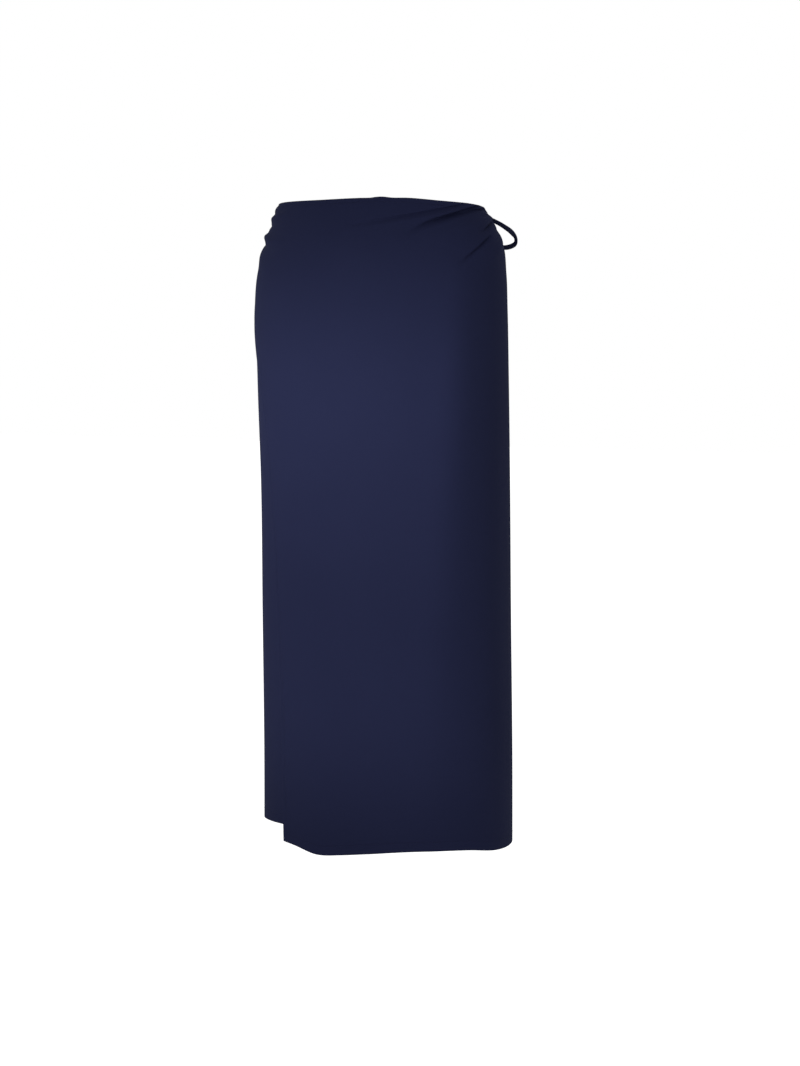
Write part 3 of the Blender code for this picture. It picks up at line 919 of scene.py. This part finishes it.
# %% [markdown]
# ## The panels' outlines
#
# A panel lies between two lines that run from waist to hem, which are seams or free edges, and
# between its waist edge and its hem. A pattern piece would be drawn flat, but these edges are known
# as they are worn, so each is a short table round the form or down it. The waist edge's rows give
# its dip at an angle, and the hem's how far it is below the skirt's length. Where panels overlap,
# more rows give how far out from the form each one lies.

# %% Panel outlines
LEFT_SEAM = 116.0
RIGHT_SEAM = -90.0
SEAM_OVERLAP = 0.0002  # neighbouring panels run this far into each other, so no light shows
WAIST_EDGE = (  # angle, dip
    (-100, 0.000),
    (-75, -0.002),
    (-20, -0.0008),
    (10, -0.0015),
    (18, -0.0016),
    (22, -0.0026),
    (27, -0.0026),
    (31, -0.0014),
    (42, -0.0008),
    (60, 0.0028),
    (90, 0.005),
    (130, 0.003),
    (180, 0.000),
    (270, 0.000),
)
UNDER_WAIST_EDGE = (  # angle, dip
    (-90, 0.0000),
    (-80, 0.0010),
    (-65, 0.0025),
    (0, 0.0040),
    (60, 0.0070),
    (80, 0.0100),
    (95, 0.0135),
    (108, 0.0175),
)
FRONT_HEM = (  # angle, below
    (-98, 0.004),
    (-48, 0.005),
    (-36, 0.007),
    (-20, 0.0135),
    (-4, 0.0098),
    (12, 0.0045),
    (45, -0.004),
    (65, -0.002),
    (80, 0.006),
    (95, 0.010),
    (116, 0.009),
)
BACK_HEM = (  # angle, below
    (116, 0.009),
    (150, 0.002),
    (200, 0.000),
    (240, -0.002),
    (270, -0.006),
)
UNDER_HEM = (  # angle, below
    (-90, -0.006),
    (-77, -0.009),
    (-60, -0.015),
    (-48, -0.018),
    (0, -0.020),
    (108, -0.016),
)
FRONT_FREE_EDGE = (  # drop, angle
    (0.00, -98.0),
    (0.05, -96.0),
    (0.12, -82.0),
    (0.25, -63.0),
    (0.50, -51.0),
    (0.95, -44.0),
)
UNDER_FREE_EDGE = ((0.00, 108.0), (0.95, 90.0))  # drop, angle
FRONT_OUT = (  # angle, out
    (-98, 0.0023),
    (-75, 0.0022),
    (-48, 0.0021),
    (40, 0.0018),
    (116, 0.0000),
)
UNDER_OUT = (  # angle, out
    (-90, 0.0000),
    (-60, -0.0005),
    (0, -0.0015),
    (40, -0.0045),
    (80, -0.0090),
    (108, -0.0095),
)
SLIT_DROP = 0.0260
SLIT_HALF_HEIGHT = 0.0070
SLIT_HALF_WIDTH = 0.0045
SLIT_REACH = 0.012  # how far from the seam the cloth gives way to it
print("left seam at", LEFT_SEAM, "degrees, right seam at", RIGHT_SEAM)

# %% [markdown]
# ## A grid for each panel
#
# A panel is a grid of places on the form. An even grid would need millions of faces to show the
# narrow creases, so rows and columns are close together only where creases or edges are, and far
# apart on the plain cloth below.

# %% Panel grids
EDGE_SPACING = 0.0004  # between the first two rows or columns at an edge
SPACING_GROWTH = 0.5  # how much further apart they get, as a share of the distance to the edge
# distance from the waist, row spacing
ROW_SPACING = ((0.060, 0.00095), (0.110, 0.0020), (0.300, 0.0105))
UNDER_ROW_SPACING = ((0.0, 0.0080),)
# distance from the first edge, column spacing
FRONT_COLUMN_SPACING = ((0.440, 0.0034), (0.500, 0.00148))
BACK_COLUMN_SPACING = ((0.0, 0.0032),)
UNDER_COLUMN_SPACING = ((0.0, 0.0045),)


def stations(length, spacing):
    """Places along a length, as far apart as a table says, and close together at both ends."""
    known, apart = zip(*spacing)
    places = [0.0]
    while places[-1] < length:
        here = places[-1]
        from_end = min(here, length - here)
        step = min(np.interp(here, known, apart), EDGE_SPACING + SPACING_GROWTH * from_end)
        places.append(here + float(step))
    return np.array(places) * length / places[-1]


def angle_of(length):
    """The angle that a length of cloth spans."""
    return np.degrees(length / TYPICAL_RADIUS)


def straight_edge(angle):
    """An edge that keeps to one angle from waist to hem, as a function of the level."""
    return lambda level: angle + 0 * np.asarray(level)


def slanted_edge(rows):
    """An edge whose angle follows a table of drops and angles."""
    return lambda level: curve_through(rows, level)


def panel_places(columns, rows, first_edge, last_edge, hem, waist_edge=WAIST_EDGE):
    """Angles and drops over a panel before its gathers draw it in, and distances from its edges."""
    level = stations(SKIRT_LENGTH, rows)[:, None]
    breadth = math.radians(last_edge(0.0) - first_edge(0.0)) * TYPICAL_RADIUS
    across = (stations(breadth, columns) / breadth)[None, :]
    first, last = first_edge(level), last_edge(level)
    angle = first + (last - first) * across
    dip = curve_through(waist_edge, angle)
    drop = dip + (SKIRT_LENGTH + curve_through(hem, angle) - dip) * level / SKIRT_LENGTH
    width = np.radians(last - first) * TYPICAL_RADIUS
    from_first, from_last = across * width, (1 - across) * width
    from_waist, from_hem = level + 0 * across, SKIRT_LENGTH - level + 0 * across
    return angle, drop, (from_first, from_last, from_waist, from_hem)


print(len(stations(SKIRT_LENGTH, ROW_SPACING)), "rows from waist to hem")

# %% [markdown]
# ## From a grid to cloth
#
# Each panel is a thin shell: the grid is lifted by the folds, and has an outer and an inner skin a
# cloth's thickness apart. A Solidify modifier could add the inner skin, but it can't turn in a hem.
# Here the distance from the panel's edges is known at every point, so the edges are rounded, the
# turned-in strips are thicker, and the same distance is stored for the finish to read.

# %% Panel shells
EDGE_ROUND = 0.0009  # how far in from an edge its rounding starts
EDGE_FLAT = 0.25  # share of the thickness that stays flat at the very edge
TURN_EXTRA = 0.7  # extra thickness where cloth is turned in and pressed, as a share
TURN_STEP = 0.0012  # how far the step at a turned-in strip reaches


def turned_in(distance, turn):
    """1 where an edge is turned in and 0 beyond it, with a soft step between."""
    return soft_step((turn - distance) / TURN_STEP)


def shell_mesh(name, angle, drop, out, edges, turns):
    """A panel's two skins, closed round its edges. Each edge has a turn, or None at a seam."""
    nearest = np.minimum.reduce(edges)
    extra = np.max([turned_in(e, t) for e, t in zip(edges, turns) if t], axis=0)
    rounding = EDGE_FLAT + (1 - EDGE_FLAT) * round_step(nearest / EDGE_ROUND)
    thick = CLOTH_THICKNESS * (1 + TURN_EXTRA * extra)
    middle = out + CLOTH_THICKNESS - thick / 2
    outer = cloth_points(angle, drop, middle + rounding * thick / 2)
    inner = cloth_points(angle, drop, middle - rounding * thick / 2)
    rows, columns = outer.shape[:2]
    index = np.arange(rows * columns).reshape(rows, columns)
    square = np.stack([index[:-1, :-1], index[1:, :-1], index[1:, 1:], index[:-1, 1:]], -1)
    front = square.reshape(-1, 4)
    back = front[:, ::-1] + rows * columns
    around = np.concatenate([index[0, :], index[1:, -1], index[-1, -2::-1], index[-2:0:-1, 0]])
    onwards = np.roll(around, -1)
    rim = np.stack([around, onwards, onwards + rows * columns, around + rows * columns], -1)
    faces = np.concatenate([front, back, rim])
    mesh = bpy.data.meshes.new(name)
    mesh.vertices.add(2 * rows * columns)
    mesh.vertices.foreach_set("co", np.concatenate([outer.reshape(-1, 3), inner.reshape(-1, 3)]).ravel())
    mesh.loops.add(faces.size)
    mesh.loops.foreach_set("vertex_index", faces.ravel())
    mesh.polygons.add(len(faces))
    mesh.polygons.foreach_set("loop_start", np.arange(0, faces.size, 4))
    mesh.update(calc_edges=True)
    yarns = np.stack([np.radians(angle) * TYPICAL_RADIUS, drop], -1).reshape(-1, 2)
    yarns = np.concatenate([yarns, yarns])
    mesh.uv_layers.new(name="yarns").data.foreach_set("uv", yarns[faces.ravel()].ravel())
    sewn = np.minimum.reduce([e + (EDGE_TURN - t) for e, t in zip(edges, turns) if t]).ravel()
    from_edge = mesh.attributes.new("from_edge", "FLOAT", "POINT")
    from_edge.data.foreach_set("value", np.concatenate([sewn, sewn]))
    mesh.shade_smooth()
    return mesh


def add_panel(name, node, places, turns):
    mesh = shell_mesh(name, *places, turns)
    mesh.validate()
    mesh.materials.append(cloth)
    piece = in_scene(name, mesh)
    join_part(piece, node)
    print(f"{name}: {len(mesh.polygons)} faces")
    return piece


def beside_slit(angle, drop, side):
    """Angles, moved from the left seam where it opens into the slit. Side is -1 in front of it."""
    opening = np.exp(-(((drop - SLIT_DROP) / SLIT_HALF_HEIGHT) ** 2))
    half_width = (SLIT_HALF_WIDTH + SEAM_OVERLAP / 2) * opening - SEAM_OVERLAP / 2
    near_seam = np.exp(-side * (angle - LEFT_SEAM) / angle_of(SLIT_REACH))
    return angle + side * angle_of(half_width) * near_seam


def leaning(angle, drop):
    """Drops, where the left hip's folds hang down over the cloth below them."""
    return drop + FOLD_LEAN * fold_height(angle, drop, LEFT_FOLDS)


# %% [markdown]
# ### The outer front
#
# It reaches from the left seam across the whole front. Its free edge starts at the right hip,
# where it is gathered into the tie, and falls forward to the hem.

# %% Outer front


def front_places():
    angle, drop, edges = panel_places(
        FRONT_COLUMN_SPACING,
        ROW_SPACING,
        first_edge=slanted_edge(FRONT_FREE_EDGE),
        last_edge=straight_edge(LEFT_SEAM),
        hem=FRONT_HEM,
    )
    for gather in (LEFT_GATHER, RIGHT_GATHER):
        drop = drawn_in(angle, drop, gather)
    out = curve_through(FRONT_OUT, angle) + front_lift(angle, drop)
    return beside_slit(angle, drop, -1), leaning(angle, drop), out, edges


front_grid = front_places()
front = add_panel("front_wrap", "front_panel", front_grid, (EDGE_TURN, None, EDGE_TURN, HEM_TURN))

# %% [markdown]
# ### The back
#
# The back is the plainest piece. It is gathered at the left seam too, and soft folds open out
# towards its hem.

# %% Back


def back_places():
    angle, drop, edges = panel_places(
        BACK_COLUMN_SPACING,
        ROW_SPACING,
        first_edge=straight_edge(LEFT_SEAM),
        last_edge=straight_edge(RIGHT_SEAM + 360 + angle_of(SEAM_OVERLAP / 2)),
        hem=BACK_HEM,
    )
    drop = drawn_in(angle, drop, LEFT_GATHER)
    return beside_slit(angle, drop, 1), leaning(angle, drop), back_lift(angle, drop), edges


back_grid = back_places()
back = add_panel("back", "back_panel", back_grid, (None, None, EDGE_TURN, HEM_TURN))

# %% [markdown]
# ### The underlap
#
# The other end of the cloth passes under the outer front, from the right seam to the left hip.
# Only a strip of it shows, between the right seam and the outer front's free edge.

# %% Underlap


def under_places():
    angle, drop, edges = panel_places(
        UNDER_COLUMN_SPACING,
        UNDER_ROW_SPACING,
        first_edge=straight_edge(RIGHT_SEAM - angle_of(SEAM_OVERLAP / 2)),
        last_edge=slanted_edge(UNDER_FREE_EDGE),
        hem=UNDER_HEM,
        waist_edge=UNDER_WAIST_EDGE,
    )
    return angle, drop, curve_through(UNDER_OUT, angle), edges


under_grid = under_places()
under = add_panel("underlap", "under_panel", under_grid, (None, EDGE_TURN, EDGE_TURN, HEM_TURN))

# %% [markdown]
# ## Stitches
#
# A row of short stitches in navy thread holds each turned-in edge. A stitch is the same small
# rounded bar each time, so Geometry Nodes set it along a line that runs on the panel at the turn's
# depth. They hardly show from a distance, and catch the light from near by.

# %% Stitches
STITCH_PITCH = 0.0032
STITCH_LENGTH = 0.0025
THREAD_WIDTH = 0.00036
THREAD_LIFT = 0.00008  # how far a stitch's middle is above the cloth, so that it looks pulled in
FIBRES_PER_METRE = 2600.0
FIBRE_HEIGHT = 0.00005
FIBRE_BUMP = 0.4
THREAD_ROUGHNESS = 0.6
THREAD_GLOSS = 0.2
FIRST_SIDE, LAST_SIDE, WAIST_SIDE, HEM_SIDE = range(4)  # the order of a panel's distances


def thread_finish():
    material, tree, shader = new_material("navy_thread")
    fibres = noise(tree, FIBRES_PER_METRE)
    bump = tree.add(
        "ShaderNodeBump",
        sockets={"Strength": FIBRE_BUMP, "Distance": FIBRE_HEIGHT, "Height": fibres},
    )
    tree.fill_all(shader, {
        "Base Color": yarn_colour(tree, fibres),
        "Normal": bump.outputs[0],
        "Roughness": THREAD_ROUGHNESS,
        "Specular IOR Level": THREAD_GLOSS,
    })
    return material


def stitch_tree():
    sizes = {"Pitch": STITCH_PITCH, "Length": STITCH_LENGTH, "Width": THREAD_WIDTH}
    tree, given, lines = growing_tree("stitch_rows", sizes)
    places = tree.add(
        "GeometryNodeCurveToPoints",
        {"mode": "LENGTH"},
        {"Curve": lines, "Length": given["Pitch"]},
    )
    sockets = {"Radius": UNIT_RADIUS, "Subdivisions": 1}
    bar = tree.add("GeometryNodeMeshIcoSphere", sockets=sockets)
    size = tree.add(
        "ShaderNodeCombineXYZ", sockets={0: given["Width"], 1: given["Width"], 2: given["Length"]}
    )
    rows = tree.add(
        "GeometryNodeInstanceOnPoints",
        sockets={
            "Points": places.outputs["Points"],
            "Instance": bar.outputs["Mesh"],
            "Rotation": places.outputs["Rotation"],
            "Scale": size.outputs[0],
        },
    )
    return end_tree(tree, rows.outputs[0], given["Finish"])


def line_on_panel(places, side, turn):
    """Points on a panel's outer skin, at one distance from one of its sides."""
    angle, drop, out, edges = places
    skin = cloth_points(angle, drop, out + CLOTH_THICKNESS + THREAD_LIFT)
    distance = edges[side]
    if side in (FIRST_SIDE, LAST_SIDE):
        skin, distance = skin.swapaxes(0, 1), distance.T
    if distance[0, 0] > distance[-1, 0]:
        skin, distance = skin[::-1], distance[::-1]
    line = [
        [np.interp(turn, away, coordinate) for coordinate in points.T]
        for away, points in zip(distance.T, skin.swapaxes(0, 1))
    ]
    return np.array(line)


def add_stitches(name, places, rows):
    lines = [line_on_panel(places, side, turn) for side, turn in rows]
    stitches = grown(guide_of(name + "_lines", lines), name, stitch_rows, {"Finish": thread})
    join_part(stitches)
    print(f"{name}: {len(stitches.data.polygons)} faces")
    return stitches


thread = thread_finish()
stitch_rows = stitch_tree()
front_rows = ((FIRST_SIDE, EDGE_TURN), (WAIST_SIDE, EDGE_TURN), (HEM_SIDE, HEM_TURN))
back_rows = ((WAIST_SIDE, EDGE_TURN), (HEM_SIDE, HEM_TURN))
under_rows = ((LAST_SIDE, EDGE_TURN), (WAIST_SIDE, EDGE_TURN), (HEM_SIDE, HEM_TURN))
front_stitches = add_stitches("front_stitches", front_grid, front_rows)
back_stitches = add_stitches("back_stitches", back_grid, back_rows)
under_stitches = add_stitches("underlap_stitches", under_grid, under_rows)

# %% [markdown]
# ## The cut pieces
# #
# # Cloth can't stretch much, so each worn panel has to have about the area of the flat piece that it
# # was cut from. The flat pieces are not worked out here.


# %% [markdown]
# ## Floor and light
#
# The skirt is held up by its wearer, so it hangs above a pale floor. The air around it is white
# for the camera, and lights the cloth only softly from all sides. The shape comes from one broad
# soft light at the wearer's right, level with the thighs. It leaves the left side in shade, and
# fades towards the waist and the hem. A light behind the skirt does the same for the back, and
# reaches nothing that the camera sees.

# %% Floor and light
FLOOR_DROP = 1.07
FLOOR_REACH = 12.0
FLOOR_COLOUR = (0.90, 0.90, 0.90, 1)
FLOOR_ROUGHNESS = 0.9
AMBIENT = 0.37
FLOOR_GLOW = 0.90
WHITE = (1, 1, 1, 1)
# name, azimuth, distance, height, height it aims at, breadth, tallness, power, spread in degrees
SOFTBOXES = (
    ("key", -14.0, 1.5, -0.50, -0.25, 0.9, 0.10, 0.59, 26.0),
    ("low_key", -14.0, 1.5, -0.65, -0.65, 0.9, 0.40, 0.39, 16.0),
    ("from_behind", 205.0, 1.5, -0.45, -0.45, 0.5, 0.80, 1.0, 40.0),
)


def add_floor():
    mesh = bpy.data.meshes.new("floor")
    sides = np.array([(-1, -1, 0), (1, -1, 0), (1, 1, 0), (-1, 1, 0)])
    corners = sides * FLOOR_REACH - (0, 0, FLOOR_DROP)
    mesh.from_pydata(corners.tolist(), [], [(0, 1, 2, 3)])
    material, tree, shader = new_material("pale_floor")
    tree.fill_all(shader, {
        "Base Color": FLOOR_COLOUR,
        "Roughness": FLOOR_ROUGHNESS,
        "Specular IOR Level": 0.0,
        "Emission Color": WHITE,
        "Emission Strength": FLOOR_GLOW,
    })
    mesh.materials.append(material)
    floor = in_scene("floor", mesh)
    floor.visible_diffuse = False
    floor.visible_glossy = False
    floor.visible_shadow = False
    floor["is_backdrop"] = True


def add_air():
    """White for the camera, and a softer light on the cloth."""
    world = bpy.data.worlds.new("air")
    world.use_nodes = True
    tree = Tree(world.node_tree)
    background = world.node_tree.nodes["Background"]
    seen = tree.value(tree.add("ShaderNodeLightPath").outputs["Is Camera Ray"])
    tree.fill_all(background, {"Color": WHITE, "Strength": AMBIENT + (1 - AMBIENT) * seen})
    bpy.context.scene.world = world


def add_softbox(name, azimuth, distance, height, aim_height, breadth, tallness, power, spread):
    """A rectangular soft light that faces the skirt's middle at a height."""
    data = bpy.data.lights.new(name, "AREA")
    data.shape = "RECTANGLE"
    data.size, data.size_y = breadth, tallness
    data.energy = power
    data.spread = math.radians(spread)
    light = in_scene(name, data)
    place = on_circle(azimuth, distance, height)
    aim = Vector((0, 0, aim_height)) - place
    light.matrix_world = Matrix.Translation(place) @ aim.to_track_quat("-Z", "Y").to_matrix().to_4x4()


add_floor()
add_air()
for softbox in SOFTBOXES:
    add_softbox(*softbox)
bpy.context.scene.view_settings.view_transform = "Standard"

# %% [markdown]
# ## Sizes
#
# Last, the sizes of the looks and of the construction model are printed side by side. Cloth may
# stand a little proud of the model.

# %% Sizes
scene_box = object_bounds()
sizes = {"cad": [list(corner) for corner in cad_box], "scene": [list(corner) for corner in scene_box]}
for side, (low, high) in sizes.items():
    print(side, [round((b - a) * 1000, 1) for a, b in zip(low, high)], "mm")
